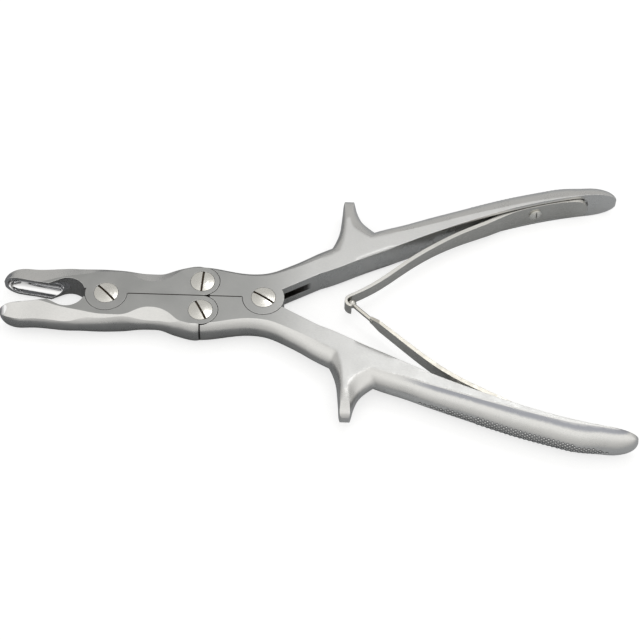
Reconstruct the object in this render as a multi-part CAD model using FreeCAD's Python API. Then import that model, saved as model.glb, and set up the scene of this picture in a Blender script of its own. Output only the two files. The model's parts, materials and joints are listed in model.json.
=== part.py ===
"""Double-action bone rongeur.

Two cupped jaws and two spurred handles turn on four screws, and two leaf springs hold the handles open.
Each shape is worked out about the rear pivot: +X runs back along the handles, +Y to the upper handle and
+Z up.
The finished pieces are then moved so that the origin is under the middle of the whole instrument.
"""
import FreeCAD, Part
import math
import os

Vector = FreeCAD.Vector
UP = Vector(0, 0, 1)

# Linkage, with the jaws open
PIVOT_SPACING = 56.8
LINK_TO_REAR_PIVOT = 22.34
LINK_OFFSET = 6.37
JAW_OPEN_DEG = 9.2
HANDLE_OPEN_DEG = 30.0

# Box joints, a tongue between two fork legs
THICKNESS = 10.0
TONGUE = 3.2
LAYER_CLEARANCE = 0.05
PIVOT_LUG_RADIUS = 7.5
LINK_LUG_RADIUS = 6.2
LUG_GAP = 0.25
PARTING_GAP = 0.15
CUSP_WIDTH = 3.0
CUSP_HEIGHT = 0.8
RUNOUT_RADIUS = 7.0
RUNOUT_SINK = 2.2
RUNOUT_REACH = 16.6

# Pivot and link screws
HEAD_RADIUS = 4.35
HEAD_SINK = 1.8
HEAD_DOME = 0.45
HEAD_GAP = 0.14
SCREW_SLOT_WIDTH = 0.8
SCREW_SLOT_DEPTH = 0.9
JOURNAL_RADIUS = 3.0
THREAD_RADIUS = 2.5
SCREW_END_CHAMFER = 0.3
FIXED_CLEARANCE = 0.02
RUNNING_CLEARANCE = 0.04
OPEN_PIVOT_CLEARANCE = 0.2
FRONT_SLOT_DEG = -45
UPPER_LINK_SLOT_DEG = 87
LOWER_LINK_SLOT_DEG = -62
REAR_SLOT_DEG = -33

# Jaws
JAW_REACH = 38.3
JAW_TIP_LENGTH = 11.3
JAW_TIP_ROUND = 6.0
LUG_MARGIN = 2.1
FLANK_BULGE = 2.6
WAIST_EDGE = 5.7
WAIST_RIDGE = 10.3
WAIST_MID = 11.4
WAIST_BEVEL = 2.1
CUP_DEPTH = 7.5
CUP_HALF_WIDTH = 4.7
RIM_HALF_WIDTH = 4.35
CUP_FLANK = 0.95
CUP_RIDGE = 0.62
TROUGH_RADIUS = 4.0
TROUGH_START = 19.4
TROUGH_FRONT_WALL = 1.0
RIM_CLEARANCE = 0.05
WINDOW_CENTRE = 14.2
WINDOW_RADIUS = 6.6
WINDOW_SINK = 0.4
WINDOW_LEAD_DEG = 27
HORN_HEIGHT = 2.0

# Handles
HANDLE_REACH = 131.8
HANDLE_END_LENGTH = 13.8
END_SLOPE = 0.15
GRIP_DEPTH = 7.0
GRIP_HALF_WIDTH = 6.4
JOINT_END = 19.0
JOINT_FLARE = 0.7
FLANK_ANGLE = 0.95
GRIP_ANGLE = 1.4

# Leaf springs
SPRING_THICKNESS = 1.5
SPRING_TIP_THICKNESS = 1.05
SPRING_HALF_WIDTH = 4.5
SPRING_TIP_HALF_WIDTH = 2.4
SPRING_SEAT_GAP = 0.06
SPRING_HEAD_GAP = 0.04
SPRING_TAIL_LIFT = 0.3
GROOVE_DEPTH = 1.0
GROOVE_MARGIN = 0.3
GROOVE_START = 62.0
GROOVE_END = 120.8
BALL_RADIUS = 1.6
BALL_CLEARANCE = 0.12
BALL_BACK = 32.1
BALL_OFFSET = 1.8
NECK_RADIUS = 0.8
HOOK_END_DEG = 265
SPRING_HEAD_RADIUS = 2.4
SPRING_HEAD_HEIGHT = 1.3
SPRING_SHANK_RADIUS = 1.2
SPRING_SHANK_DEPTH = 4.0
SPRING_SLOT_WIDTH = 0.6
SPRING_SLOT_DEPTH = 0.7

# Outlines seen from above. The lower handle is the upper one's mirror image.
# Rows before the grip start with a distance behind the rear pivot, rows of the grip with a share of its
# length.
GRIP_START = 44.0
SHOULDER_INNER = ((20.4, 11.6), (28, 15), (36, 19.2))
GRIP_INNER = ((0.0, 23.0), (0.18, 29.6), (0.36, 35.6), (0.54, 41.0))
SPRING_SEAT = ((0.675, 44.6), (0.763, 46.65), (0.851, 48.45))
GRIP_INNER_END = ((0.946, 50.1), (1.0, 50.9))
SHOULDER = ((25, 26.4, 21.4), (32, 30.2, 25.5), (38, 33.0, 28.6))
GRIP = ((0.0, 35.5, 30.5, 5.2), (0.09, 37.7, 32.3, 5.3), (0.2, 40.9, 34.9, 5.4), (0.35, 44.9, 38.6, 5.75),
        (0.5, 48.9, 42.1, 6.1), (0.65, 52.6, 45.3, 6.35), (0.8, 55.7, 48.3, 6.4), (0.91, 57.6, 49.9, 6.4))
SPUR = ((21, 22.4, 46.0, 26.6, 43.0), (25.5, 24.0, 45.9, 27.5, 41.4), (28.5, 25.4, 45.4, 28.1, 39.6),
        (31, 26.3, 43.8, 28.4, 36.0), (34.6, 27.1, 39.6, 28.7, 31.9), (38.5, 27.5, 35.5, 28.9, 31.0),
        (42, 27.8, 33.8, 29.0, 30.9),
        (45, 28.0, 32.9, 29.2, 31.0), (47.2, 28.3, 32.4, 29.4, 31.0), (48.1, 29.0, 31.8, 29.8, 30.8))
SPUR_SIDE = ((36, 5.6), (39, 4.9), (42, 4.4), (45, 3.7), (47, 2.8), (48.1, 1.4))
UPPER_SPRING = ((35.2, 6.9), (40.1, 10.4), (52.2, 21.0), (62.1, 28.5), (72.8, 34.9), (83, 40.0))
LOWER_SPRING = ((38.6, 5.3), (42.6, 9.0), (50, 15.9), (57.2, 22.5), (64.3, 28.3), (72, 33.6), (83, 39.9))

HALF = THICKNESS / 2
TONGUE_TOP = TONGUE / 2
FORK_INNER = TONGUE_TOP + LAYER_CLEARANCE
REAR = Vector(0, 0, 0)
FRONT = Vector(-PIVOT_SPACING, 0, 0)
LINK = Vector(-LINK_TO_REAR_PIVOT, LINK_OFFSET, 0)
RIM_SLOPE = math.tan(math.radians(JAW_OPEN_DEG))
LINK_EDGE = LINK_OFFSET + LINK_LUG_RADIUS - 0.15
LUG_EDGE = PIVOT_LUG_RADIUS + LUG_MARGIN
MID_BULGE = FLANK_BULGE + 0.3
LINK_BULGE = FLANK_BULGE - 0.05
SPRING_STACK = SPRING_SEAT_GAP + SPRING_THICKNESS + SPRING_HEAD_GAP
GRIP_LENGTH = HANDLE_REACH - HANDLE_END_LENGTH - GRIP_START
JOINT_OVERRUN = 0.075
GRIP_OVERRUN = 0.015
SPUR_OVERRUN = 1.12
GRIP_RIDGE = 0.94
FAR = 200.0


def back_of(share):
    """How far behind the rear pivot a share of the grip lies."""
    return GRIP_START + share * GRIP_LENGTH


def polar(length, degrees):
    """A step of a given length in the plane of the instrument."""
    angle = math.radians(degrees)
    return Vector(length * math.cos(angle), length * math.sin(angle), 0)


def spline(points):
    """A smooth edge through points."""
    curve = Part.BSplineCurve()
    curve.interpolate(points)
    return curve.toShape()


def slab(edges, low, high):
    """A closed outline, seen from above, made solid between two heights."""
    face = Part.Face(Part.Wire(Part.__sortEdges__(edges)))
    face.translate(UP * low)
    return face.extrude(UP * (high - low))


def polygon_edges(points):
    """Straight edges round a closed list of points."""
    following = points[1:] + points[:1]
    return [Part.makeLine(a, b) for a, b in zip(points, following)]


def disc(centre, radius, low, high):
    """A round plate about an upright axis."""
    return Part.makeCylinder(radius, high - low, centre + UP * low)


def box(low, high):
    """A block between two opposite corners."""
    size = high - low
    return Part.makeBox(size.x, size.y, size.z, low)


def ellipse_factor(share, power=2.0):
    """How much of its full size a rounded end keeps at a share of its length."""
    return (1 - share ** power) ** (1 / power)


def flank_point(edge, mid, half, angle, share):
    """Where an elliptical flank is, at a share of the way from its middle to its upper edge."""
    turn = angle * share
    depth = (1 - math.cos(turn)) / (1 - math.cos(angle))
    return mid + (edge - mid) * depth, half * math.sin(turn) / math.sin(angle)


def flank_points(edge, mid, half, angle, place, reach=1.0):
    """Points round an elliptical flank, from its lower edge, or a little under it, to its upper one."""
    return [place(*flank_point(edge, mid, half, angle, reach * step / 2)) for step in range(-2, 3)]


def flank_edge(points):
    """One smooth arch through flank points, spaced alike in every section so that lofts stay simple."""
    arch = Part.BezierCurve()
    last = len(points) - 1
    arch.interpolate([[point] for point in points], [index / last for index in range(last + 1)])
    return arch.toShape()


def body_section(x, inner, edge, ridge, mid, angle, overrun=JOINT_OVERRUN):
    """The section of a jaw or a handle at x: flat inside, two sides, two bevels and a rounded flank.

    inner, edge and ridge are offsets with a height: the inside, the side's edge and the bevel's ridge.
    """
    def place(y, z):
        return Vector(x, y, z)
    over = overrun * edge[1]
    slope = (ridge[0] - edge[0]) / (edge[1] - ridge[1])
    start = (edge[0] - over * slope, edge[1] + over)
    round_side = flank_points(ridge[0], mid, ridge[1], angle, place)
    lines = [Part.makeLine(place(inner[0], -inner[1]), place(*inner)),
             Part.makeLine(place(*inner), place(*start)),
             Part.makeLine(place(*start), round_side[-1]),
             Part.makeLine(round_side[0], place(start[0], -start[1])),
             Part.makeLine(place(start[0], -start[1]), place(inner[0], -inner[1]))]
    return Part.Wire(Part.__sortEdges__(lines[:3] + [flank_edge(round_side)] + lines[3:]))


def jaw_section(x, inner, edge, ridge, mid):
    """A jaw's section: its flank is a round arc from ridge to ridge."""
    return body_section(x, inner, edge, ridge, mid, 2 * math.atan((mid - ridge[0]) / ridge[1]))


def handle_section(x, inner, edge, mid, angle, ridge_share, overrun=JOINT_OVERRUN):
    """A handle's section: an elliptical flank whose uppermost part is ground to a bevel."""
    ridge = flank_point(edge[0], mid, edge[1], angle, ridge_share)
    return body_section(x, inner, edge, ridge, mid, angle * ridge_share, overrun)


def spur_section(y, left, right, left_edge, right_edge):
    """The section of a finger spur at y: two rounded sides between two narrow flats."""
    def place(x, z):
        return Vector(x, y, z)
    left_side = flank_points(left_edge, left, HALF, FLANK_ANGLE, place, SPUR_OVERRUN)
    right_side = flank_points(right_edge, right, HALF, FLANK_ANGLE, place, SPUR_OVERRUN)
    top = Part.makeLine(left_side[-1], right_side[-1])
    bottom = Part.makeLine(left_side[0], right_side[0])
    return Part.Wire(Part.__sortEdges__([flank_edge(left_side), top, flank_edge(right_side), bottom]))


def jaw_blank():
    """The outside of the upper jaw, from behind the link to the tip of the cup."""
    link = PIVOT_SPACING - LINK_TO_REAR_PIVOT
    waist = 0.48 * link
    lug_mid = LUG_EDGE + MID_BULGE
    link_mid = LINK_EDGE + LINK_BULGE
    scooped = HALF - WAIST_BEVEL
    joint = ((link + 3, LINK_EDGE, LINK_EDGE + 0.1, HALF - 0.1, link_mid),
             (link - 0.5, LINK_EDGE, LINK_EDGE + 0.1, HALF - 0.1, link_mid),
             (link - 4, LINK_EDGE - 0.1, LINK_EDGE, HALF - 0.1, link_mid - 0.1),
             (link - 7.3, LINK_EDGE - 1.05, LINK_EDGE - 0.8, HALF - 0.2, link_mid - 1.0),
             (waist + 7.3, WAIST_EDGE + 2.9, WAIST_RIDGE + 1.1, scooped + 0.8, WAIST_MID + 1.6),
             (waist + 3.7, WAIST_EDGE + 0.7, WAIST_RIDGE + 0.15, scooped + 0.1, WAIST_MID + 0.3),
             (waist, WAIST_EDGE, WAIST_RIDGE, scooped, WAIST_MID),
             (waist - 4, WAIST_EDGE + 0.75, WAIST_RIDGE - 0.2, scooped + 0.4, WAIST_MID + 0.1),
             (waist - 9, LUG_EDGE - 0.5, LUG_EDGE + 0.35, HALF - 0.5, lug_mid - 0.65),
             (2.5, LUG_EDGE - 0.1, LUG_EDGE + 0.85, HALF - 0.6, lug_mid - 0.2),
             (-2.5, LUG_EDGE - 0.3, LUG_EDGE + 1.1, HALF - 0.8, lug_mid + 0.1),
             (-0.85 * PIVOT_LUG_RADIUS, LUG_EDGE - 1.0, LUG_EDGE + 1.0, HALF - 0.9, lug_mid + 0.1))
    sections = [jaw_section(FRONT.x + back, (-2, HALF + 0.5), (edge, HALF), (ridge, height), mid)
                for back, edge, ridge, height, mid in joint]
    tip_start = JAW_REACH - JAW_TIP_LENGTH
    cup_start = 1.65 * PIVOT_LUG_RADIUS
    middle = lug_mid + 0.1
    cup_middle = tip_start * RIM_SLOPE + CUP_DEPTH
    for share, drop in ((0.0, 4.9), (0.4, 5.8), (1.0, 6.8)):
        reach = cup_start + share * (tip_start - cup_start)
        mid = middle + share * (cup_middle - middle)
        half = HALF + (0.45 + 0.55 * share) * (CUP_HALF_WIDTH - HALF)
        rim_half = HALF + (0.5 + 0.5 * share) * (RIM_HALF_WIDTH - HALF)
        ridge = (mid - CUP_FLANK, CUP_RIDGE * half)
        sections.append(jaw_section(FRONT.x - reach, (-2, rim_half), (mid - drop, half), ridge, mid))
    for share in (0.3, 0.55, 0.75, 0.9, 0.975):
        reach = tip_start + share * JAW_TIP_LENGTH
        rim = reach * RIM_SLOPE
        shrink = ellipse_factor(share, 1.9)
        depth = CUP_DEPTH * shrink
        rounding = max(0.0, (reach - JAW_REACH + JAW_TIP_ROUND) / JAW_TIP_ROUND)
        width = ellipse_factor(rounding)
        half = CUP_HALF_WIDTH * width
        ridge = (rim + depth - CUP_FLANK * shrink, CUP_RIDGE * half)
        sections.append(jaw_section(FRONT.x - reach, (rim - 7 * shrink, RIM_HALF_WIDTH * width),
                                    (rim + depth * 0.15, half), ridge, rim + depth))
    milled = box(Vector(-FAR, -FAR, -HALF), Vector(FAR, FAR, HALF))
    return Part.makeLoft(sections, True, False).common(milled)


def jaw_inner_side():
    """What is milled away between the jaws: parting line, crescent window and open mouth."""
    gap = PARTING_GAP / 2
    window = FRONT + Vector(-WINDOW_CENTRE, -WINDOW_SINK, 0)
    horn_rise = HORN_HEIGHT + WINDOW_SINK
    horn = Vector(window.x + math.sqrt(WINDOW_RADIUS ** 2 - horn_rise ** 2), HORN_HEIGHT, 0)
    lead_start = window + polar(WINDOW_RADIUS, 90 + WINDOW_LEAD_DEG)
    lead_slope = math.tan(math.radians(WINDOW_LEAD_DEG))
    rim_at_lead = (FRONT.x - lead_start.x) * RIM_SLOPE + RIM_CLEARANCE
    run = (lead_start.y - rim_at_lead) / (lead_slope + RIM_SLOPE)
    lead_end = lead_start - Vector(run, run * lead_slope, 0)
    mouth = Vector(FRONT.x - FAR, FAR * RIM_SLOPE + RIM_CLEARANCE, 0)
    top = window + Vector(0, WINDOW_RADIUS, 0)
    edges = [Part.makeLine(Vector(FAR, gap, 0), Vector(FRONT.x, gap, 0)),
             Part.makeLine(Vector(FRONT.x, gap, 0), Vector(FRONT.x, HORN_HEIGHT, 0)),
             Part.makeLine(Vector(FRONT.x, HORN_HEIGHT, 0), horn),
             Part.Arc(horn, top, lead_start).toShape(),
             Part.makeLine(lead_start, lead_end),
             Part.makeLine(lead_end, mouth),
             Part.makeLine(mouth, Vector(mouth.x, -FAR, 0)),
             Part.makeLine(Vector(mouth.x, -FAR, 0), Vector(FAR, -FAR, 0)),
             Part.makeLine(Vector(FAR, -FAR, 0), Vector(FAR, gap, 0))]
    return slab(edges, -THICKNESS, THICKNESS)


def trough():
    """The round-ended hollow of a cup, with its axis on the rim."""
    direction = 180 - JAW_OPEN_DEG
    start = FRONT + polar(TROUGH_START, direction)
    end = FRONT + polar(JAW_REACH - TROUGH_FRONT_WALL - TROUGH_RADIUS, direction)
    body = Part.makeCylinder(TROUGH_RADIUS, (end - start).Length, start, end - start)
    for centre in (start, end):
        body = body.fuse(Part.makeSphere(TROUGH_RADIUS, centre))
    return body


def outer_layers(maker):
    """The same cut above and below a tongue."""
    return maker(TONGUE_TOP, THICKNESS).fuse(maker(-THICKNESS, -TONGUE_TOP))


def screw_seat(centre):
    """The stepped hole of a screw: counterbore, plain upper leg and threaded lower leg."""
    seat = disc(centre, HEAD_RADIUS + HEAD_GAP, HALF - HEAD_SINK, THICKNESS)
    plain = disc(centre, JOURNAL_RADIUS + FIXED_CLEARANCE, -FORK_INNER, THICKNESS)
    threaded = disc(centre, THREAD_RADIUS + FIXED_CLEARANCE, -THICKNESS, THICKNESS)
    return seat.fuse(plain).fuse(threaded)


def cusp_notch(low, high):
    """The blunted points of the inner edges beside a link."""
    corner = Vector(LINK.x - CUSP_WIDTH, -CUSP_HEIGHT, low)
    return box(corner, Vector(LINK.x + CUSP_WIDTH, CUSP_HEIGHT, high))


def jaw(forked):
    """The upper jaw, with a fork or with a tongue at the front pivot and a fork at the link."""
    keep = box(Vector(-FAR, -FAR, -THICKNESS), Vector(LINK.x - PARTING_GAP / 2, FAR, THICKNESS))
    body = jaw_blank().common(keep).cut(jaw_inner_side())
    pocket = PIVOT_LUG_RADIUS + LUG_GAP
    if forked:
        body = body.fuse(disc(FRONT, PIVOT_LUG_RADIUS, -HALF, HALF))
        body = body.cut(disc(FRONT, pocket, -FORK_INNER, FORK_INNER))
        body = body.cut(screw_seat(FRONT))
    else:
        body = body.cut(outer_layers(lambda low, high: disc(FRONT, pocket, low, high)))
        body = body.fuse(disc(FRONT, PIVOT_LUG_RADIUS, -TONGUE_TOP, TONGUE_TOP))
        body = body.cut(disc(FRONT, JOURNAL_RADIUS + RUNNING_CLEARANCE, -THICKNESS, THICKNESS))
    body = body.fuse(disc(LINK, LINK_LUG_RADIUS, -HALF, HALF))
    body = body.cut(disc(LINK, LINK_LUG_RADIUS + LUG_GAP, -FORK_INNER, FORK_INNER))
    body = body.cut(cusp_notch(-FORK_INNER, FORK_INNER))
    body = body.cut(screw_seat(LINK))
    return body.cut(trough()).removeSplitter()


def handle_blank():
    """The outside of the upper handle, from before the link to its rounded end, with its finger spur."""
    rear_edge = LUG_EDGE - 0.15
    joint = ((LINK.x - 3, LINK_EDGE, 0.98), (0.82 * LINK.x, LINK_EDGE - 0.6, 0.98),
             (0.6 * LINK.x, LINK_EDGE - 1.65, 0.97), (0.38 * LINK.x, rear_edge + 0.35, 0.96),
             (0.14 * LINK.x, rear_edge, 0.95), (2.5, rear_edge + 0.75, 0.92), (8, rear_edge + 2.9, 0.86),
             (13.5, rear_edge + 5.5, 0.8), (JOINT_END, rear_edge + 8.5, 0.75))
    sections = []
    for x, edge, ridge_share in joint:
        behind = max(0, x)
        mid = edge + LINK_BULGE + JOINT_FLARE * (x - LINK.x) / -LINK.x + behind / 14
        sections.append(handle_section(x, (-3 + behind * 0.5, HALF + 0.5), (edge, HALF), mid,
                                       FLANK_ANGLE, ridge_share))
    for x, mid, edge in SHOULDER:
        half = HALF + (x - JOINT_END) / 100
        angle = FLANK_ANGLE + (x - SHOULDER[0][0]) / 60
        sections.append(handle_section(x, (0.4 * x, half + 0.5), (edge, half), mid, angle, 0.8))
    for share, mid, edge, half in GRIP:
        angle = min(GRIP_ANGLE, FLANK_ANGLE + 0.31 + 1.2 * share)
        sections.append(handle_section(back_of(share), (edge - 8, half + 0.3), (edge, half), mid, angle,
                                       GRIP_RIDGE, GRIP_OVERRUN))
    for share in (0.0, 0.35, 0.6, 0.8, 0.92, 0.98):
        x = back_of(1) + share * HANDLE_END_LENGTH
        inner = GRIP_INNER_END[-1][1] + END_SLOPE * share * HANDLE_END_LENGTH
        depth = GRIP_DEPTH * ellipse_factor(share)
        half = GRIP_HALF_WIDTH * ellipse_factor(share, 2.4)
        sections.append(handle_section(x, (inner - 5, half), (inner, half), inner + depth, GRIP_ANGLE,
                                       GRIP_RIDGE, GRIP_OVERRUN))
    return Part.makeLoft(sections, True, False).fuse(spur()).common(handle_sides())


def handle_sides():
    """The handle's side view: the milled joint, the thicker grip and the rounded end."""
    grip = [Vector(back_of(share), 0, half) for share, mid, edge, half in GRIP]
    shoulder = Vector(SHOULDER[1][0], 0, HALF + 0.1)
    top = [Vector(JOINT_END, 0, HALF), shoulder] + grip + [Vector(FAR, 0, GRIP_HALF_WIDTH)]
    profile = [Part.makeLine(Vector(-FAR, 0, HALF), top[0]), spline(top)]
    profile += [edge.mirror(Vector(0, 0, 0), UP) for edge in profile]
    profile += [Part.makeLine(Vector(x, 0, -z), Vector(x, 0, z))
                for x, z in ((-FAR, HALF), (FAR, GRIP_HALF_WIDTH))]
    face = Part.Face(Part.Wire(Part.__sortEdges__(profile)))
    face.translate(Vector(0, -FAR, 0))
    return face.extrude(Vector(0, 2 * FAR, 0))


def spur():
    """The curved finger spur that stands out of the handle's flank, thinner towards its blunt tip."""
    sections = [spur_section(*row) for row in SPUR]
    upper = [Vector(0, y, z) for y, z in SPUR_SIDE]
    corners = [Vector(0, 0, HALF + 0.6), upper[0]]
    edges = [Part.makeLine(*corners), spline(upper)]
    edges += [edge.mirror(Vector(0, 0, 0), UP) for edge in edges]
    edges += [Part.makeLine(Vector(0, 0, -HALF - 0.6), corners[0])]
    tip = upper[-1]
    edges += [Part.makeLine(tip, Vector(0, tip.y, -tip.z))]
    side = Part.Face(Part.Wire(Part.__sortEdges__(edges))).extrude(Vector(FAR, 0, 0))
    return Part.makeLoft(sections, True, False).common(side)


def handle_inner_side():
    """What is milled away between the handles: parting line, radial face and long inner face."""
    gap = PARTING_GAP / 2
    grip = GRIP_INNER + SPRING_SEAT + GRIP_INNER_END
    points = [Vector(x, y, 0) for x, y in SHOULDER_INNER] + [grip_point(row) for row in grip]
    last = points[-1] + Vector(1, END_SLOPE, 0) * (HANDLE_END_LENGTH * 1.5)
    corner = Vector(last.x, -FAR, 0)
    return slab([Part.makeLine(Vector(-FAR, gap, 0), Vector(0, gap, 0)),
                 Part.makeLine(Vector(0, gap, 0), points[0]),
                 spline(points),
                 Part.makeLine(points[-1], last),
                 Part.makeLine(last, corner),
                 Part.makeLine(corner, Vector(-FAR, -FAR, 0)),
                 Part.makeLine(Vector(-FAR, -FAR, 0), Vector(-FAR, gap, 0))], -THICKNESS, THICKNESS)


def grip_point(row):
    """A point of the grip's outline, from its share of the grip's length and its offset."""
    return Vector(back_of(row[0]), row[1], 0)


def seat_direction():
    """Along the handle at the spring's seat."""
    return (grip_point(SPRING_SEAT[-1]) - grip_point(SPRING_SEAT[0])).normalize()


def seat_normal():
    """Out of the handle at the spring's seat, towards the other handle."""
    along = seat_direction()
    return Vector(along.y, -along.x, 0)


def spring_groove(inner_side):
    """The round-ended groove in the inner face that keeps the spring straight."""
    groove = inner_side.copy()
    groove.translate(seat_normal() * -GROOVE_DEPTH)
    half = SPRING_HALF_WIDTH + GROOVE_MARGIN
    ends = (GROOVE_START + half, GROOVE_END - half)
    track = box(Vector(ends[0], 0, -half), Vector(ends[1], FAR, half))
    for x in ends:
        track = track.fuse(Part.makeCylinder(half, FAR, Vector(x, 0, 0), Vector(0, 1, 0)))
    return groove.common(track)


def slot_runout():
    """Where the cutter that made the fork's slot ran out into the inner face."""
    depth = RUNOUT_RADIUS - RUNOUT_SINK
    centre_reach = RUNOUT_REACH - math.sqrt(RUNOUT_RADIUS ** 2 - depth ** 2)
    centre = polar(centre_reach, HANDLE_OPEN_DEG) - polar(depth, HANDLE_OPEN_DEG + 90)
    return disc(centre, RUNOUT_RADIUS, -FORK_INNER, FORK_INNER)


def handle(forked, link_clearance):
    """The upper handle, with a fork or with a tongue at the rear pivot and a tongue at the link."""
    keep = box(Vector(LINK.x + PARTING_GAP / 2, -FAR, -THICKNESS), Vector(FAR, FAR, THICKNESS))
    inner_side = handle_inner_side()
    body = handle_blank().common(keep).cut(inner_side).cut(spring_groove(inner_side))
    pocket = PIVOT_LUG_RADIUS + LUG_GAP
    if forked:
        body = body.fuse(disc(REAR, PIVOT_LUG_RADIUS, -HALF, HALF))
        body = body.cut(disc(REAR, pocket, -FORK_INNER, FORK_INNER)).cut(slot_runout())
        body = body.cut(screw_seat(REAR))
    else:
        body = body.cut(outer_layers(lambda low, high: disc(REAR, pocket, low, high)))
        body = body.fuse(disc(REAR, PIVOT_LUG_RADIUS, -TONGUE_TOP, TONGUE_TOP))
        body = body.cut(disc(REAR, JOURNAL_RADIUS + RUNNING_CLEARANCE, -THICKNESS, THICKNESS))
    link_pocket = LINK_LUG_RADIUS + LUG_GAP
    body = body.cut(outer_layers(lambda low, high: disc(LINK, link_pocket, low, high)))
    body = body.cut(outer_layers(cusp_notch))
    body = body.fuse(disc(LINK, LINK_LUG_RADIUS, -TONGUE_TOP, TONGUE_TOP))
    body = body.cut(disc(LINK, JOURNAL_RADIUS + link_clearance, -THICKNESS, THICKNESS))
    hole = spring_axis_cylinder(SPRING_SHANK_RADIUS + FIXED_CLEARANCE, -SPRING_SHANK_DEPTH - 0.5, 2)
    return body.cut(hole).removeSplitter()


def spring_axis_cylinder(radius, start, end):
    """A cylinder on the spring screw's axis, measured out of the handle from the groove's floor."""
    outward = seat_normal()
    floor = grip_point(SPRING_SEAT[1]) - outward * GROOVE_DEPTH
    return Part.makeCylinder(radius, end - start, floor + outward * start, outward)


def turned(profile, dome):
    """A piece turned about the upright axis: a domed top, then its outline of (radius, height) corners."""
    radius, height = profile[0]
    rings = [(radius * share, height + dome * (1 - share ** 2)) for share in (0, 0.35, 0.7)]
    corners = [Vector(out, 0, up) for out, up in rings + profile]
    return Part.Face(Part.Wire(polygon_edges(corners))).revolve(Vector(0, 0, 0), UP, 360)


def head_slot(top, width, depth, degrees):
    """A driver slot across the top of a head."""
    cutter = box(Vector(-FAR, -width / 2, top - depth), Vector(FAR, width / 2, top + depth))
    cutter.rotate(Vector(0, 0, 0), UP, degrees)
    return cutter


def pivot_screw(centre, slot_degrees):
    """A shouldered screw: domed slotted head, journal through the tongue and threaded end."""
    seat = HALF - HEAD_SINK
    end = THREAD_RADIUS - SCREW_END_CHAMFER
    screw = turned([(HEAD_RADIUS, HALF), (HEAD_RADIUS, seat), (JOURNAL_RADIUS, seat),
                    (JOURNAL_RADIUS, -FORK_INNER), (THREAD_RADIUS, -FORK_INNER),
                    (THREAD_RADIUS, SCREW_END_CHAMFER - HALF), (end, -HALF), (0, -HALF)], HEAD_DOME)
    screw = screw.cut(head_slot(HALF + HEAD_DOME, SCREW_SLOT_WIDTH, SCREW_SLOT_DEPTH, slot_degrees))
    screw.translate(centre)
    return screw


def spring_screw():
    """The small domed screw that holds a spring on its handle."""
    skirt = SPRING_HEAD_HEIGHT / 3
    screw = turned([(SPRING_HEAD_RADIUS, skirt), (SPRING_HEAD_RADIUS, 0), (SPRING_SHANK_RADIUS, 0),
                    (SPRING_SHANK_RADIUS, -SPRING_SHANK_DEPTH - SPRING_STACK),
                    (0, -SPRING_SHANK_DEPTH - SPRING_STACK)], SPRING_HEAD_HEIGHT - skirt)
    screw = screw.cut(head_slot(SPRING_HEAD_HEIGHT, SPRING_SLOT_WIDTH, SPRING_SLOT_DEPTH, 90))
    outward = seat_normal()
    screw.rotate(Vector(0, 0, 0), Vector(1, 0, 0), 90)
    screw.rotate(Vector(0, 0, 0), UP, math.degrees(math.atan2(outward.y, outward.x)) + 90)
    screw.translate(grip_point(SPRING_SEAT[1]) + outward * (SPRING_STACK - GROOVE_DEPTH))
    return screw


def leaf(free_points):
    """A tapered strip from its free end, over the seat in the handle's groove, to its rear end."""
    outward = seat_normal()
    lift = outward * (SPRING_SEAT_GAP - GROOVE_DEPTH)
    seat = [grip_point(row) + lift for row in SPRING_SEAT]
    tail = Vector(GROOVE_END - GROOVE_MARGIN, GRIP_INNER_END[-1][1], 0) + outward * SPRING_TAIL_LIFT
    outer = [Vector(x, y, 0) for x, y in free_points] + seat + [tail]
    inner = []
    for index, point in enumerate(outer):
        before = outer[max(index - 1, 0)]
        after = outer[min(index + 1, len(outer) - 1)]
        along = (after - before).normalize()
        share = min(1.0, index / 3)
        thickness = SPRING_TIP_THICKNESS + share * (SPRING_THICKNESS - SPRING_TIP_THICKNESS)
        inner.append(point + Vector(along.y, -along.x, 0) * thickness)
    strip = slab([spline(outer), Part.makeLine(outer[-1], inner[-1]), spline(inner),
                  Part.makeLine(inner[0], outer[0])], -THICKNESS, THICKNESS)
    hole = spring_axis_cylinder(SPRING_SHANK_RADIUS + FIXED_CLEARANCE, -1, SPRING_THICKNESS + 1)
    return strip.cut(hole)


def side_view(points):
    """A solid as deep as the whole instrument from half of its side outline."""
    upper = [Vector(x, 0, z) for x, z in points]
    lower = [Vector(x, 0, -z) for x, z in reversed(points)]
    face = Part.Face(Part.Wire(polygon_edges(upper + lower)))
    face.translate(Vector(0, -FAR, 0))
    return face.extrude(Vector(0, 2 * FAR, 0))


def spring_width(free_end):
    """The strip's side outline: widest at the screw and round at the rear, narrow towards the free end."""
    end_centre = GROOVE_END - SPRING_HALF_WIDTH - GROOVE_MARGIN
    rear = [polar(SPRING_HALF_WIDTH, degrees) for degrees in (90, 75, 60, 45, 30, 15, 0.5)]
    return side_view(free_end + [(75, 0.8 * SPRING_HALF_WIDTH), (88, 0.96 * SPRING_HALF_WIDTH),
                                 (98, SPRING_HALF_WIDTH)]
                     + [(end_centre + step.x, step.y) for step in rear])


def ball_centre():
    """Where the two springs meet."""
    return Vector(BALL_BACK, BALL_OFFSET, 0)


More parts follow.
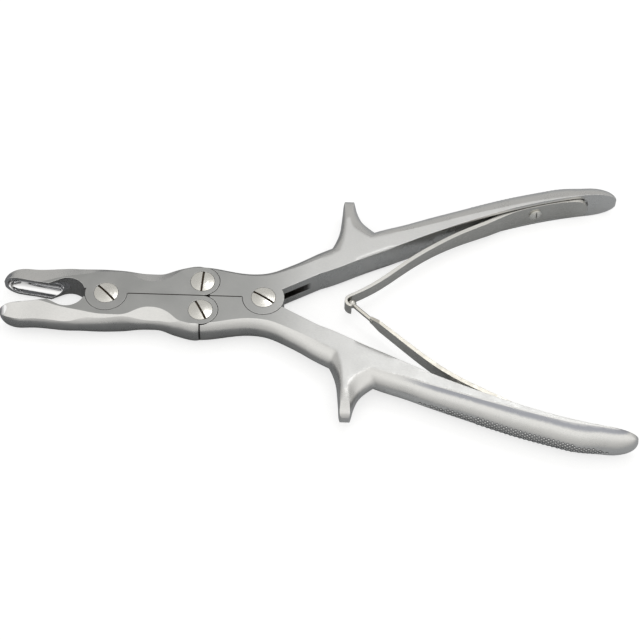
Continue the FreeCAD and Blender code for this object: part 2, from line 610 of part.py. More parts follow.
def upper_spring():
    """The upper spring, whose end curls round the ball of the lower one."""
    centre = ball_centre()
    bore = BALL_RADIUS + BALL_CLEARANCE
    outside = bore + SPRING_TIP_THICKNESS
    toward = Vector(*UPPER_SPRING[0], 0) - centre
    chord = math.degrees(math.atan2(toward.y, toward.x))
    start_deg = chord + math.degrees(math.acos(outside / toward.Length))
    start = centre + polar(outside, start_deg)
    ring = [Part.Arc(start, centre + polar(outside, (start_deg + HOOK_END_DEG) / 2),
                     centre + polar(outside, HOOK_END_DEG)).toShape(),
            Part.makeLine(centre + polar(outside, HOOK_END_DEG), centre + polar(bore, HOOK_END_DEG)),
            Part.Arc(centre + polar(bore, HOOK_END_DEG),
                     centre + polar(bore, (start_deg + HOOK_END_DEG) / 2),
                     centre + polar(bore, start_deg)).toShape(),
            Part.makeLine(centre + polar(bore, start_deg), start)]
    hook = slab(ring, -SPRING_TIP_HALF_WIDTH, SPRING_TIP_HALF_WIDTH)
    strip = leaf(((start.x, start.y),) + UPPER_SPRING)
    width = spring_width([(BALL_BACK - 6, SPRING_TIP_HALF_WIDTH), (50, 0.58 * SPRING_HALF_WIDTH),
                          (62, 0.62 * SPRING_HALF_WIDTH)])
    return strip.common(width).fuse(hook).removeSplitter()


def lower_spring():
    """The lower spring as its mirror image, with a neck and a ball at the free end."""
    centre = ball_centre()
    centre.y = -centre.y
    strip = leaf(LOWER_SPRING)
    width = spring_width([(LOWER_SPRING[0][0] - 2, 1.0), (LOWER_SPRING[0][0] + 1, 1.5),
                          (42, 0.56 * SPRING_HALF_WIDTH), (62, 0.62 * SPRING_HALF_WIDTH)])
    root = Vector(*LOWER_SPRING[0], 0) + polar(SPRING_TIP_THICKNESS / 2, -45) + polar(1.2, 45)
    neck = Part.makeCylinder(NECK_RADIUS, (root - centre).Length, centre, root - centre)
    ball = Part.makeSphere(BALL_RADIUS, centre)
    return strip.common(width).fuse(neck).fuse(ball).removeSplitter()


def mirrored(shape):
    """The same shape on the other side of the instrument's long axis."""
    return shape.mirror(Vector(0, 0, 0), Vector(0, 1, 0))


def lower_link():
    """The lower link's axis."""
    return Vector(LINK.x, -LINK.y, 0)


def build():
    """Every piece by name, in the pivot's frame."""
    small_screw = spring_screw()
    return {
        "upper_jaw": jaw(True),
        "lower_jaw": mirrored(jaw(False)),
        "upper_handle": handle(True, OPEN_PIVOT_CLEARANCE),
        "lower_handle": mirrored(handle(False, RUNNING_CLEARANCE)),
        "front_pivot_screw": pivot_screw(FRONT, FRONT_SLOT_DEG),
        "rear_pivot_screw": pivot_screw(REAR, REAR_SLOT_DEG),
        "upper_link_screw": pivot_screw(LINK, UPPER_LINK_SLOT_DEG),
        "lower_link_screw": pivot_screw(lower_link(), LOWER_LINK_SLOT_DEG),
        "upper_spring": upper_spring(),
        "lower_spring": mirrored(lower_spring()),
        "upper_spring_screw": small_screw,
        "lower_spring_screw": mirrored(small_screw),
    }


def main():
    """Build the pieces, set them down on the table and write them out."""
    os.makedirs("parts", exist_ok=True)
    pieces = build()
    bounds = Part.makeCompound(list(pieces.values())).optimalBoundingBox()
    shift = Vector(-(bounds.XMin + bounds.XMax) / 2, -(bounds.YMin + bounds.YMax) / 2, -bounds.ZMin)
    for name, shape in pieces.items():
        shape.translate(shift)
        shape.exportStep("parts/" + name + ".step")
        print(name, shape.isValid(), len(shape.Solids), round(shape.Volume, 1))
    print("rear pivot at", [round(value, 3) for value in shift])
    print("size", round(bounds.XLength, 2), round(bounds.YLength, 2), round(bounds.ZLength, 2))


main()
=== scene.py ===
"""Looks of the bone rongeur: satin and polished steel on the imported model.

Lengths are in metres unless a name says otherwise. Places given in millimetres are measured from the rear
pivot at mid-thickness: +X runs back along the handles, +Y to the upper handle, +Z up.
"""
import json
import math

import bmesh
import bpy
from mathutils import Matrix, Vector
from mathutils.bvhtree import BVHTree
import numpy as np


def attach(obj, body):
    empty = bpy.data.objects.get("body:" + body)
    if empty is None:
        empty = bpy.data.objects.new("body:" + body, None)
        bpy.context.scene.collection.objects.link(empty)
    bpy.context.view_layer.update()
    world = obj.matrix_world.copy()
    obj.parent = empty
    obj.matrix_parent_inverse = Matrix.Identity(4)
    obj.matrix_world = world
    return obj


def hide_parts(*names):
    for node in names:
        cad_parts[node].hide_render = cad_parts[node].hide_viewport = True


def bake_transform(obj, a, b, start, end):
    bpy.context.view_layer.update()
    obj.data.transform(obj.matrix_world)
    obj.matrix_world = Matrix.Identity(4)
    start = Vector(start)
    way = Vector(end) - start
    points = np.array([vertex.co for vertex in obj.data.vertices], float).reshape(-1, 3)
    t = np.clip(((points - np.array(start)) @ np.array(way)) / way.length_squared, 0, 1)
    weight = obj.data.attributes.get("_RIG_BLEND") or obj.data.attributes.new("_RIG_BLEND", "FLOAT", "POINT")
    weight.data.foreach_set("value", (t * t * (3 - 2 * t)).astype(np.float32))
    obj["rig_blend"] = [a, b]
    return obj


MM = 0.001

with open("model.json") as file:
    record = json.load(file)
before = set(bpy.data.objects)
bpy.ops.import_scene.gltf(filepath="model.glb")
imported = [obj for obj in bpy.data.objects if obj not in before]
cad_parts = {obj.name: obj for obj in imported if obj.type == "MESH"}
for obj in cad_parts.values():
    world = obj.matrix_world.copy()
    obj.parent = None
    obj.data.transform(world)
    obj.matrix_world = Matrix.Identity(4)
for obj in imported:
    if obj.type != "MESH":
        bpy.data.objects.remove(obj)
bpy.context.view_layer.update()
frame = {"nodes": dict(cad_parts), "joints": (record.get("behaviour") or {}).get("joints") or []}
scene = bpy.context.scene
scene.view_settings.view_transform = "Standard"

joints = {joint["name"]: joint for joint in frame["joints"]}
REAR = Vector(joints["rear_pivot"]["pos_m"])
FRONT_X_MM = (joints["front_pivot"]["pos_m"][0] - REAR.x) / MM

# Camera, measured from the rear pivot, in millimetres and degrees
CAMERA_TARGET = (20.64, -5.77, 0.0)
CAMERA_DISTANCE = 626.7
CAMERA_ELEVATION = 54.575
CAMERA_AZIMUTH = 0.453
CAMERA_ROLL = 1.353
CAMERA_LENS = 97.67

# Studio: how bright the room is, in degrees from the wall behind the object over the top to the front wall
ROOM_TONES = ((0, 0.60), (40, 0.56), (58, 0.56), (72, 0.66), (86, 1.02), (100, 1.06), (114, 1.16),
              (124, 1.10), (140, 0.82), (160, 0.66), (180, 0.54))
ROOM_TINT = (1.0, 0.995, 0.975)

# Table that the steel mirrors: tones by the jaws, by the grips and far off, and where they change, in metres;
# the darker tones near the object are painted shade
TABLE_SHADED_TONES = (0.19, 0.46, 0.52)
TABLE_REACH = (0.1, 0.45)
TABLE_CHANGE = (-0.03, 0.03)
TABLE_TINT = (0.97, 1.0, 1.04)

# Paper that the camera sees
PAPER_GLOW = 0.66
PAPER_TINT = (0.46, 0.46, 0.46)
FLOOR_HALF = 1.5

# Soft box that the lower flats mirror: metres and watts
LAMP_SPOT = (0.14, 0.27, 0.62)
LAMP_TARGET = (0.06, 0, 0)
LAMP_SIZE = (0.30, 0.16)
LAMP_POWER = 0.46

# Steel colours: a pair is the range between clouds in the finish
# Painted light: the flats' pair in front is darker and the pair behind lighter, standing in for the soft
# box's fall of light
FRONT_FLAT_SHADED = ((0.395, 0.40, 0.392, 1), (0.475, 0.475, 0.466, 1))
BACK_FLAT_LIT = ((0.64, 0.64, 0.63, 1), (0.72, 0.72, 0.71, 1))
FLANK = ((0.66, 0.66, 0.65, 1), (0.76, 0.75, 0.73, 1))
BRUSHED = (0.34, 0.34, 0.35, 1)
# Edges: brightened partly where worn and partly by a painted highlight
WORN_AND_HIGHLIT_EDGE = (0.88, 0.88, 0.87, 1)
# Painted dark reflection beside the lower grip's flat
GRIP_DARK_REFLECTION = (0.30, 0.31, 0.35, 1)
CUP = (0.86, 0.86, 0.87, 1)
# Painted shade for corners, the fork's slot and the parting lines
SHADE = (0.08, 0.075, 0.07, 1)
SCREW = ((0.76, 0.745, 0.70, 1), (0.88, 0.865, 0.82, 1))
SCREW_SCRATCH = (0.5, 0.48, 0.43, 1)
# Screw edges: brightened partly where worn and partly by a painted highlight
SCREW_WORN_AND_HIGHLIT_EDGE = (0.9, 0.89, 0.86, 1)
# Painted shade in the screw slots
SCREW_SHADE = (0.07, 0.055, 0.04, 1)
SPRING = ((0.52, 0.51, 0.48, 1), (0.62, 0.61, 0.58, 1))
SPRING_EDGES = ((0.76, 0.73, 0.66, 1), (0.68, 0.67, 0.64, 1))
# Painted shade in the knurl's valleys and a painted highlight on its points
KNURL_VALLEY_SHADE = ((0.05, 0.05, 0.055, 1), (0.12, 0.12, 0.125, 1))
KNURL_POINT_HIGHLIGHT = ((0.80, 0.80, 0.79, 1), (0.92, 0.92, 0.90, 1))

# How far edges are softened, and how deep the corners painted in shade are, in millimetres
STEEL_EDGE_RADIUS = 0.2
SCREW_EDGE_RADIUS = 0.12
SPRING_EDGE_RADIUS = 0.15
KNURL_EDGE_RADIUS = 0.06
STEEL_CORNER = 0.8
SCREW_CORNER = 0.9

# Heights of the fine relief, in millimetres
STEEL_RELIEF = 0.012
SCREW_RELIEF = 0.006
SPRING_RELIEF = 0.01

# Shares of a turn, an opening or a facing at which a mask begins and is full
WORN_AND_HIGHLIT_TURN = (0.995, 0.88)
CLOSED_CORNER = (0.62, 0.2)
FLAT_FACING = (0.985, 0.998)
SPRING_EDGE_FACING = (0.7, 0.9)

# Cups, in millimetres and degrees from the front pivot
CUP_ANGLE_DEG = 9.2
CUP_RADIUS = 4.0
CUP_START = 15.0
CUP_MARGIN = (0.12, 0.04)

# Knurled bands on the outer flanks of the grips, in millimetres
KNURL_CENTRE = 98.0
KNURL_FORWARD = 43.0
KNURL_BACK = 23.5
KNURL_HALF_WIDTH = 3.0
KNURL_PITCH = 1.6
KNURL_ROW = 1.3
KNURL_HEIGHT = 0.32
KNURL_SINK = 0.05
KNURL_RAY_START = 90
CUT_HEIGHT = "cut_height"

# The links' parting lines, painted in shade, in millimetres: half widths are where a line fades and where it
# is full
LINK_BACK = 22.34
LINK_SEAM_HALF = (0.36, 0.26)
LINK_SEAM_OUT = 11.8
MIDDLE_SEAM_HALF = (0.26, 0.16)
PIVOT_CLEAR = (7.4, 8.0)

# The fork's slot where it runs out of the upper handle's inner face, painted in shade, in millimetres
SLOT_HALF = 1.66
SLOT_FADE = 0.08
RUNOUT_END = (17.4, 15.2)
RUNOUT_START = 4.0
RUNOUT_SIDE = (0.3, 11.0)

# Where the finger spurs grow out of the flanks: start, full, full, end, in millimetres
SPUR_ALONG = (15.0, 19.0, 44.0, 50.0)
SPUR_OUT = (17.0, 20.0, 41.0, 44.0)
SPUR_BLEND = 2.0

# Painted dark reflection in a narrow band beside the lower grip's flat: how far its surface faces up, and
# where it begins
REFLECTION_FACING = (0.985, 0.965, 0.95, 0.89)
REFLECTION_BEGINS = (46.0, 62.0)

# Painted light: the flats are coloured darker in front and lighter behind, as the soft box behind lights
# them, changing between these places, in millimetres
FLAT_LIGHT_FALLOFF = (-4.0, 22.0)

# Where the heads of the joint screws begin to dome, below which they are painted in shade, and how far back
# these screws lie, in millimetres
HEAD_RIM = 4.85
RIM_FADE = 0.12
JOINT_SCREWS_END = 20.0

# Springs: where each leaves its handle, where it bends no more, and what lies between the two, in millimetres
SPRING_SEATED = (86.0, 41.0)
SPRING_FREE = (46.0, 14.0)
SPRING_SIDES = (-4.0, 4.0)


def place(x, y, z=0.0):
    """A point given in millimetres from the rear pivot."""
    return REAR + Vector((x, y, z)) * MM


def make_camera():
    """The photograph's viewpoint."""
    elevation = math.radians(CAMERA_ELEVATION)
    azimuth = math.radians(CAMERA_AZIMUTH)
    roll = math.radians(CAMERA_ROLL)
    back = Vector((math.sin(azimuth) * math.cos(elevation), -math.cos(azimuth) * math.cos(elevation),
                   math.sin(elevation)))
    right = Vector((math.cos(azimuth), math.sin(azimuth), 0))
    up = back.cross(right)
    across = right * math.cos(roll) + up * math.sin(roll)
    upward = up * math.cos(roll) - right * math.sin(roll)
    data = bpy.data.cameras.new("camera")
    data.lens = CAMERA_LENS
    data.sensor_width = 36
    data.clip_start = 0.01
    camera = bpy.data.objects.new("camera", data)
    scene.collection.objects.link(camera)
    eye = place(*CAMERA_TARGET) + back * CAMERA_DISTANCE * MM
    rotation = Matrix((across, upward, back)).transposed()
    camera.matrix_world = Matrix.Translation(eye) @ rotation.to_4x4()
    scene.camera = camera


class Graph:
    """A node tree with short calls for the nodes used here."""

    def __init__(self, tree):
        self.nodes = tree.nodes
        self.links = tree.links

    def new(self, kind, **settings):
        """A node with its properties set."""
        node = self.nodes.new(kind)
        for name, value in settings.items():
            setattr(node, name, value)
        return node

    def feed(self, socket, value):
        """Link an output, or set a plain value."""
        if isinstance(value, bpy.types.NodeSocket):
            self.links.new(value, socket)
        else:
            socket.default_value = value

    def math(self, operation, first, second=0.0):
        """A number from one or two others."""
        node = self.new("ShaderNodeMath", operation=operation)
        self.feed(node.inputs[0], first)
        self.feed(node.inputs[1], second)
        return node.outputs[0]

    def vector(self, operation, first, second=(0, 0, 0)):
        """A vector, or the number that a dot product or a length gives."""
        node = self.new("ShaderNodeVectorMath", operation=operation)
        self.feed(node.inputs[0], first)
        self.feed(node.inputs[1], second)
        return node.outputs["Value" if operation in ("DOT_PRODUCT", "LENGTH") else "Vector"]

    def step(self, value, low, high, start=0.0, end=1.0):
        """A smooth change from start to end while value goes from low to high."""
        node = self.new("ShaderNodeMapRange", interpolation_type="SMOOTHSTEP")
        for index, item in enumerate((value, low, high, start, end)):
            self.feed(node.inputs[index], item)
        return node.outputs[0]

    def band(self, value, start, full, full_end, end):
        """One between full and full_end, falling to zero at start and at end."""
        return self.math("MULTIPLY", self.step(value, start, full), self.step(value, end, full_end))

    def mix(self, share, first, second):
        """A colour between two others."""
        node = self.new("ShaderNodeMix", data_type="RGBA")
        self.feed(node.inputs[0], share)
        self.feed(node.inputs[6], first)
        self.feed(node.inputs[7], second)
        return node.outputs[2]

    def noise(self, where, scale, detail, roughness):
        """A noise value about one half."""
        node = self.new("ShaderNodeTexNoise")
        self.feed(node.inputs["Vector"], where)
        node.inputs["Scale"].default_value = scale
        node.inputs["Detail"].default_value = detail
        node.inputs["Roughness"].default_value = roughness
        return node.outputs["Fac"]

    def millimetres(self):
        """The place on the piece, in millimetres from the rear pivot."""
        spot = self.new("ShaderNodeTexCoord").outputs["Object"]
        return self.vector("MULTIPLY", self.vector("SUBTRACT", spot, tuple(REAR)), (1 / MM, 1 / MM, 1 / MM))


def seen_directly(graph):
    """One for rays from the camera."""
    return graph.new("ShaderNodeLightPath").outputs["Is Camera Ray"]


def make_world():
    """A room that is bright above and in front, dimmer behind, and white where the camera sees it."""
    world = bpy.data.worlds.new("studio")
    scene.world = world
    world.use_nodes = True
    graph = Graph(world.node_tree)
    direction = separate(graph, graph.new("ShaderNodeTexCoord").outputs["Generated"])
    share = graph.math("DIVIDE", graph.math("ARCTAN2", direction[2], direction[1]), math.pi)
    ramp = graph.new("ShaderNodeValToRGB")
    ramp.color_ramp.interpolation = "EASE"
    stops = ramp.color_ramp.elements
    while len(stops) < len(ROOM_TONES):
        stops.new(0.5)
    for stop, (degrees, tone) in zip(stops, ROOM_TONES):
        stop.position = degrees / 180
        stop.color = (*(tone * tint for tint in ROOM_TINT), 1)
    graph.feed(ramp.inputs[0], share)
    background = graph.nodes["Background"]
    graph.feed(background.inputs["Color"], ramp.outputs["Color"])
    white = graph.new("ShaderNodeBackground")
    white.inputs["Color"].default_value = (1, 1, 1, 1)
    mix = graph.new("ShaderNodeMixShader")
    graph.feed(mix.inputs[0], seen_directly(graph))
    graph.feed(mix.inputs[1], background.outputs[0])
    graph.feed(mix.inputs[2], white.outputs[0])
    graph.feed(graph.nodes["World Output"].inputs["Surface"], mix.outputs[0])


def make_lamp():
    """A soft box aimed at the object."""
    data = bpy.data.lights.new("back_right", "AREA")
    data.shape = "RECTANGLE"
    data.size, data.size_y = LAMP_SIZE
    data.energy = LAMP_POWER
    lamp = bpy.data.objects.new("back_right", data)
    scene.collection.objects.link(lamp)
    lamp.location = LAMP_SPOT
    lamp.rotation_euler = (Vector(LAMP_TARGET) - Vector(LAMP_SPOT)).to_track_quat("-Z", "Y").to_euler()


def make_floor():
    """White paper to the camera, with the object's shadow, and a grey table to the steel, painted darker near
    the object as shade.
    """
    mesh = bpy.data.meshes.new("floor")
    corners = [(x * FLOOR_HALF, y * FLOOR_HALF, 0) for x, y in ((-1, -1), (1, -1), (1, 1), (-1, 1))]
    mesh.from_pydata(corners, [], [(0, 1, 2, 3)])
    floor = bpy.data.objects.new("floor", mesh)
    scene.collection.objects.link(floor)
    material = bpy.data.materials.new("paper")
    material.use_nodes = True
    graph = Graph(material.node_tree)
    table = graph.new("ShaderNodeBsdfDiffuse")
    spot = graph.new("ShaderNodeTexCoord").outputs["Object"]
    away = graph.vector("LENGTH", spot)
    # Painted shade: the table is darker near the object, darkest by the jaws
    shaded_by_jaws, shaded_by_grips, far = [(*(tone * tint for tint in TABLE_TINT), 1) for tone in TABLE_SHADED_TONES]
    near = graph.mix(graph.step(separate(graph, spot)[0], *TABLE_CHANGE), shaded_by_jaws, shaded_by_grips)
    graph.feed(table.inputs["Color"], graph.mix(graph.step(away, *TABLE_REACH), near, far))
    paper = graph.new("ShaderNodeBsdfDiffuse")
    paper.inputs["Color"].default_value = (*PAPER_TINT, 1)
    glow = graph.new("ShaderNodeEmission")
    glow.inputs["Strength"].default_value = PAPER_GLOW
    both = graph.new("ShaderNodeAddShader")
    graph.feed(both.inputs[0], paper.outputs[0])
    graph.feed(both.inputs[1], glow.outputs[0])
    mix = graph.new("ShaderNodeMixShader")
    graph.feed(mix.inputs[0], seen_directly(graph))
    graph.feed(mix.inputs[1], table.outputs[0])
    graph.feed(mix.inputs[2], both.outputs[0])
    graph.feed(graph.nodes["Material Output"].inputs["Surface"], mix.outputs[0])
    graph.nodes.remove(graph.nodes["Principled BSDF"])
    mesh.materials.append(material)


def metal(name):
    """A material with a metal shader, its graph and its shader."""
    material = bpy.data.materials.new(name)
    material.use_nodes = True
    graph = Graph(material.node_tree)
    shader = graph.nodes["Principled BSDF"]
    shader.inputs["Metallic"].default_value = 1.0
    return material, graph, shader


def edge_wear_and_highlight(graph, radius):
    """The softened normal near edges, and how far the metal is brightened there, partly where worn and partly
    by a painted highlight.
    """
    bevel = graph.new("ShaderNodeBevel", samples=6)
    graph.feed(bevel.inputs["Radius"], radius)
    normal = graph.new("ShaderNodeNewGeometry").outputs["Normal"]
    turn = graph.vector("DOT_PRODUCT", bevel.outputs[0], normal)
    return bevel.outputs[0], graph.step(turn, *WORN_AND_HIGHLIT_TURN)


def hollows(graph, reach):
    """One in slots, gaps and corners, where painted shade falls."""
    node = graph.new("ShaderNodeAmbientOcclusion", samples=8)
    node.inputs["Distance"].default_value = reach
    return graph.step(node.outputs["AO"], *CLOSED_CORNER)


def bumped(graph, height, distance, normal):
    """A normal with fine relief on it."""
    bump = graph.new("ShaderNodeBump")
    bump.inputs["Strength"].default_value = 1.0
    bump.inputs["Distance"].default_value = distance
    graph.feed(bump.inputs["Height"], height)
    graph.feed(bump.inputs["Normal"], normal)
    return bump.outputs[0]


def cup_share(graph, spot):
    """One inside the polished hollows of the two cups."""
    x, y, z = separate(graph, spot)
    ahead = graph.math("SUBTRACT", FRONT_X_MM, x)
    aside = graph.math("ABSOLUTE", y)
    slope = math.radians(CUP_ANGLE_DEG)
    along = graph.math("ADD", graph.math("MULTIPLY", ahead, math.cos(slope)),
                       graph.math("MULTIPLY", aside, math.sin(slope)))
    off = graph.math("SUBTRACT", graph.math("MULTIPLY", aside, math.cos(slope)),
                     graph.math("MULTIPLY", ahead, math.sin(slope)))
    squares = graph.math("ADD", graph.math("MULTIPLY", off, off), graph.math("MULTIPLY", z, z))
    radius = graph.math("SQRT", squares)
    inside = graph.step(radius, CUP_RADIUS + CUP_MARGIN[0], CUP_RADIUS + CUP_MARGIN[1])
    return graph.math("MULTIPLY", inside, graph.math("GREATER_THAN", along, CUP_START))


def separate(graph, vector):
    """The three numbers of a vector."""
    node = graph.new("ShaderNodeSeparateXYZ")
    graph.feed(node.inputs[0], vector)
    return node.outputs


def flat_share(graph):
    """One on the milled upper and lower flats."""
    normal = graph.new("ShaderNodeTexCoord").outputs["Normal"]
    upward = graph.math("ABSOLUTE", separate(graph, normal)[2])
    return graph.step(upward, *FLAT_FACING)


def runout_shade(graph, spot):
    """One inside the fork's slot where it opens into the upper handle's inner face, which is painted in
    shade.
    """
    x, y, z = separate(graph, spot)
    depth = graph.step(graph.math("ABSOLUTE", z), SLOT_HALF + SLOT_FADE, SLOT_HALF)
    length = graph.math("MULTIPLY", graph.step(x, *RUNOUT_END), graph.math("GREATER_THAN", x, RUNOUT_START))
    near, far = RUNOUT_SIDE
    side = graph.math("MULTIPLY", graph.math("GREATER_THAN", y, near), graph.math("LESS_THAN", y, far))
    return graph.math("MULTIPLY", depth, graph.math("MULTIPLY", length, side))


def spur_root(graph, spot):
    """One where the finger spurs grow out of the flanks, which are blended there."""
    x, y, z = separate(graph, spot)
    out = graph.band(graph.math("ABSOLUTE", y), *SPUR_OUT)
    return graph.math("MULTIPLY", graph.band(x, *SPUR_ALONG), out)


def grip_dark_reflection(graph, spot):
    """Near one on a narrow band beside the upper flat of the lower grip, where a dark reflection is painted.
    """
    facing = separate(graph, graph.new("ShaderNodeTexCoord").outputs["Normal"])[2]
    x, y, z = separate(graph, spot)
    lower = graph.math("MULTIPLY", graph.math("LESS_THAN", y, 0.0), graph.step(x, *REFLECTION_BEGINS, 0.0, 0.85))
    return graph.math("MULTIPLY", graph.band(facing, *REFLECTION_FACING), lower)


def seam_shade(graph, spot, flat):
    """One on the parting lines between the links, which are painted in shade."""
    x, y, z = separate(graph, spot)
    aside = graph.math("ABSOLUTE", y)
    across = graph.math("ABSOLUTE", graph.math("ADD", x, LINK_BACK))
    outside = graph.math("GREATER_THAN", aside, LINK_SEAM_OUT)
    flank = graph.math("MULTIPLY", graph.step(across, *LINK_SEAM_HALF), outside)
    flank = graph.math("MULTIPLY", flank, graph.math("SUBTRACT", 1.0, flat))
    clear, full = PIVOT_CLEAR
    between = graph.band(x, FRONT_X_MM + clear, FRONT_X_MM + full, -full, -clear)
    middle = graph.math("MULTIPLY", graph.step(aside, *MIDDLE_SEAM_HALF), between)
    return graph.math("MAXIMUM", flank, middle)


def satin_steel():
    """Ground and glass-beaded steel: dull milled flats, smoother flanks, polished cups, edges brightened
    where worn and by a painted highlight, painted light on the flats, a painted dark reflection beside the
    lower grip's flat, and painted shade in corners, the fork's slot and the parting lines.
    """
    material, graph, shader = metal("satin_steel")
    spot = graph.millimetres()
    flat = flat_share(graph)
    cup = cup_share(graph, spot)
    root = spur_root(graph, spot)
    softened, wear_and_highlight = edge_wear_and_highlight(graph, graph.step(root, 0.0, 1.0, STEEL_EDGE_RADIUS * MM, SPUR_BLEND * MM))
    along = graph.vector("MULTIPLY", spot, (0.22, 1.0, 1.0))
    grain = graph.noise(along, 5.5, 4.0, 0.7)
    beads = graph.noise(spot, 9.0, 2.0, 0.6)
    cloud = graph.noise(spot, 0.13, 3.0, 0.5)
    # Painted light on the flats: darker in front, lighter behind
    lit_behind = graph.step(separate(graph, spot)[0], *FLAT_LIGHT_FALLOFF)
    flats = graph.mix(lit_behind, graph.mix(cloud, *FRONT_FLAT_SHADED), graph.mix(cloud, *BACK_FLAT_LIT))
    tone = graph.mix(flat, graph.mix(cloud, *FLANK), flats)
    tone = graph.mix(graph.step(grain, 0.35, 0.7, 0.0, 0.16), tone, BRUSHED)
    # Edges brightened where worn and by a painted highlight, except at the spur roots
    wear_and_highlight = graph.math("MULTIPLY", wear_and_highlight, graph.math("SUBTRACT", 1.0, root))
    tone = graph.mix(wear_and_highlight, tone, WORN_AND_HIGHLIT_EDGE)
    # Painted dark reflection beside the lower grip's flat
    tone = graph.mix(grip_dark_reflection(graph, spot), tone, GRIP_DARK_REFLECTION)
    tone = graph.mix(cup, tone, CUP)
    # Painted shade in corners, in the fork's slot and on the parting lines
    shade = graph.math("MAXIMUM", hollows(graph, STEEL_CORNER * MM), runout_shade(graph, spot))
    shade = graph.math("MAXIMUM", shade, seam_shade(graph, spot, flat))
    tone = graph.mix(shade, tone, SHADE)
    graph.feed(shader.inputs["Base Color"], tone)
    rough = graph.math("MULTIPLY_ADD", flat, 0.1)
    rough.node.inputs[2].default_value = 0.3
    rough = graph.math("ADD", rough, graph.step(cloud, 0.3, 0.7, -0.04, 0.05))
    rough = graph.math("ADD", rough, graph.step(grain, 0.3, 0.7, -0.04, 0.04))
    rough = graph.math("MULTIPLY", rough, graph.math("SUBTRACT", 1.0, graph.math("MULTIPLY", cup, 0.72)))
    graph.feed(shader.inputs["Roughness"], rough)
    relief = graph.math("ADD", graph.math("MULTIPLY", grain, 0.7), graph.math("MULTIPLY", beads, 0.3))
    relief = graph.math("MULTIPLY", relief, graph.math("SUBTRACT", 1.0, cup))
    graph.feed(shader.inputs["Normal"], bumped(graph, relief, STEEL_RELIEF * MM, softened))
    return material


def screw_steel():
    """Turned screw heads: a warm bright steel with fine scratches, edges brightened where worn and by a
    painted highlight, and painted shade in the slots.
    """
    material, graph, shader = metal("screw_steel")
    spot = graph.millimetres()
    softened, wear_and_highlight = edge_wear_and_highlight(graph, SCREW_EDGE_RADIUS * MM)
    scratches = graph.noise(graph.vector("MULTIPLY", spot, (0.5, 2.0, 1.0)), 3.2, 4.0, 0.7)
    cloud = graph.noise(spot, 0.5, 2.0, 0.5)
    tone = graph.mix(cloud, *SCREW)
    tone = graph.mix(graph.step(scratches, 0.5, 0.75, 0.0, 0.2), tone, SCREW_SCRATCH)
    tone = graph.mix(wear_and_highlight, tone, SCREW_WORN_AND_HIGHLIT_EDGE)
    x, y, z = separate(graph, spot)
    in_joint = graph.math("LESS_THAN", x, JOINT_SCREWS_END)
    # Painted shade in the screw slots: below the head rim and in corners
    low = graph.math("MULTIPLY", graph.step(z, HEAD_RIM + RIM_FADE, HEAD_RIM), in_joint)
    tone = graph.mix(graph.math("MAXIMUM", low, hollows(graph, SCREW_CORNER * MM)), tone, SCREW_SHADE)
    graph.feed(shader.inputs["Base Color"], tone)
    graph.feed(shader.inputs["Roughness"], graph.step(scratches, 0.3, 0.7, 0.24, 0.32))
    graph.feed(shader.inputs["Normal"], bumped(graph, scratches, SCREW_RELIEF * MM, softened))
    return material


def spring_steel():
    """Rolled and polished strip, drawn lengthwise, with paler edges, brightened where worn and by a painted
    highlight.
    """
    material, graph, shader = metal("spring_steel")
    spot = graph.millimetres()
    sides = graph.new("ShaderNodeTexCoord").outputs["Normal"]
    softened, wear_and_highlight = edge_wear_and_highlight(graph, SPRING_EDGE_RADIUS * MM)
    drawn = graph.noise(graph.vector("MULTIPLY", spot, (0.12, 0.12, 2.4)), 3.0, 3.0, 0.6)
    cloud = graph.noise(spot, 0.2, 2.0, 0.5)
    tone = graph.mix(cloud, *SPRING)
    edge = graph.step(graph.math("ABSOLUTE", separate(graph, sides)[2]), *SPRING_EDGE_FACING)
    pale = graph.mix(graph.step(separate(graph, spot)[1], *SPRING_SIDES), *SPRING_EDGES)
    # Paler on the strip's edges, and where its edges are brightened by wear and a painted highlight
    tone = graph.mix(graph.math("MAXIMUM", wear_and_highlight, edge), tone, pale)
    graph.feed(shader.inputs["Base Color"], tone)
    rough = graph.step(drawn, 0.3, 0.7, 0.16, 0.28)
    graph.feed(shader.inputs["Roughness"], graph.math("ADD", rough, graph.math("MULTIPLY", edge, 0.14)))
    graph.feed(shader.inputs["Normal"], bumped(graph, drawn, SPRING_RELIEF * MM, softened))
    return material


def knurl_steel():
    """The cut diamonds of the grip: a painted highlight on the points and painted shade in the darker
    valleys.
    """
    material, graph, shader = metal("knurl_steel")
    spot = graph.millimetres()
    softened = edge_wear_and_highlight(graph, KNURL_EDGE_RADIUS * MM)[0]
    cloud = graph.noise(spot, 0.8, 3.0, 0.6)
    height = graph.new("ShaderNodeAttribute", attribute_name=CUT_HEIGHT).outputs["Fac"]
    # Painted highlight on the points, painted shade in the valleys
    points = graph.step(height, 0.35, 0.8)
    tone = graph.mix(points, graph.mix(cloud, *KNURL_VALLEY_SHADE), graph.mix(cloud, *KNURL_POINT_HIGHLIGHT))
    graph.feed(shader.inputs["Base Color"], tone)
    graph.feed(shader.inputs["Roughness"], graph.step(cloud, 0.3, 0.7, 0.26, 0.4))
    graph.feed(shader.inputs["Normal"], softened)
    return material


def knurl_half_width(x):
    """Half the height of the knurled band at a distance behind the rear pivot, in millimetres."""
    reach = KNURL_FORWARD if x < KNURL_CENTRE else KNURL_BACK
    share = (x - KNURL_CENTRE) / reach
    return KNURL_HALF_WIDTH * math.sqrt(max(0.0, 1 - share * share))


def add_diamond(mesh, centre, corners, outward):
    """A closed pyramid on a sunk diamond base."""
    height = mesh.verts.layers.float[CUT_HEIGHT]
    apex = mesh.verts.new(centre + outward * KNURL_HEIGHT * MM)
    apex[height] = 1.0
    base = [mesh.verts.new(corner - outward * KNURL_SINK * MM) for corner in corners]
    for index in range(4):
        mesh.faces.new((apex, base[index], base[(index + 1) % 4]))
    mesh.faces.new(base[::-1])


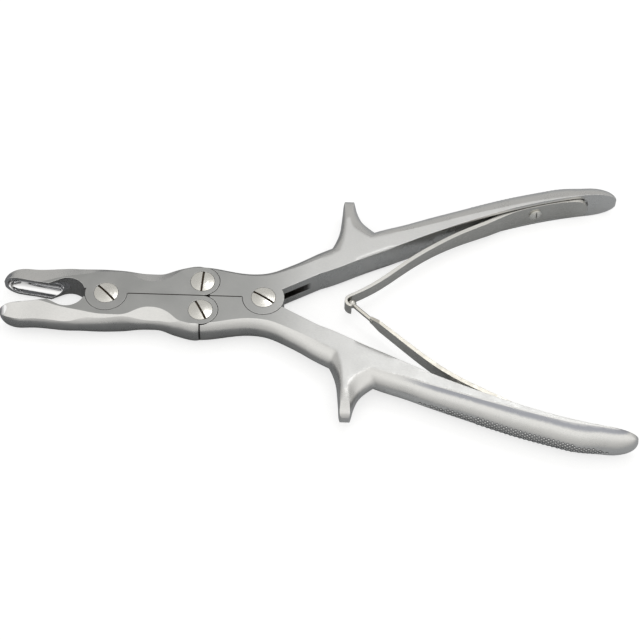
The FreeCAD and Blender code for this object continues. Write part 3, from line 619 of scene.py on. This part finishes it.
def make_knurling(name, node, body, side, material):
    """Rows of diamonds on a grip's outer flank, each seated on the steel below it."""
    surface = BVHTree.FromObject(frame["nodes"][node], bpy.context.evaluated_depsgraph_get())
    inward = Vector((0, -side, 0))

    def seat(x, z):
        return surface.ray_cast(place(x, side * KNURL_RAY_START, z), inward)[:2]

    mesh = bmesh.new()
    mesh.verts.layers.float.new(CUT_HEIGHT)
    around = ((KNURL_PITCH / 2, 0), (0, KNURL_ROW / 2), (-KNURL_PITCH / 2, 0), (0, -KNURL_ROW / 2))
    columns = int((KNURL_FORWARD + KNURL_BACK) / (KNURL_PITCH / 2))
    rows = int(KNURL_HALF_WIDTH / (KNURL_ROW / 2))
    for column in range(columns + 1):
        x = KNURL_CENTRE - KNURL_FORWARD + column * KNURL_PITCH / 2
        for row in range(-rows, rows + 1):
            z = row * KNURL_ROW / 2
            if (column + row) % 2 or abs(z) + KNURL_ROW / 2 > knurl_half_width(x):
                continue
            centre, normal = seat(x, z)
            corners = [seat(x + ahead, z + up)[0] for ahead, up in around]
            add_diamond(mesh, centre, corners if side < 0 else corners[::-1], normal)
    bmesh.ops.recalc_face_normals(mesh, faces=mesh.faces)
    data = bpy.data.meshes.new(name)
    mesh.to_mesh(data)
    mesh.free()
    data.materials.append(material)
    piece = bpy.data.objects.new(name, data)
    scene.collection.objects.link(piece)
    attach(piece, body)


def make_spring(node, handle, side, material):
    """A spring that bends from its seat on, in place of the rigid strip."""
    data = frame["nodes"][node].data.copy()
    data.materials.clear()
    data.materials.append(material)
    piece = bpy.data.objects.new(node + "_strip", data)
    scene.collection.objects.link(piece)
    seated = place(SPRING_SEATED[0], side * SPRING_SEATED[1])
    free = place(SPRING_FREE[0], side * SPRING_FREE[1])
    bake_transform(piece, handle, node, seated, free)
    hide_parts(node)


def dress(nodes, material):
    """Give CAD nodes their finish."""
    for name in nodes:
        data = frame["nodes"][name].data
        data.materials.clear()
        data.materials.append(material)


make_camera()
make_world()
make_floor()
make_lamp()
steel = satin_steel()
dress(("upper_jaw", "lower_jaw", "upper_handle", "lower_handle"), steel)
dress([name for name in frame["nodes"] if name.endswith("screw")], screw_steel())
strip = spring_steel()
make_spring("upper_spring", "upper_handle", 1, strip)
make_spring("lower_spring", "lower_handle", -1, strip)
diamonds = knurl_steel()
make_knurling("upper_knurling", "upper_handle", "upper_handle", 1, diamonds)
make_knurling("lower_knurling", "lower_handle", "lower_handle", -1, diamonds)
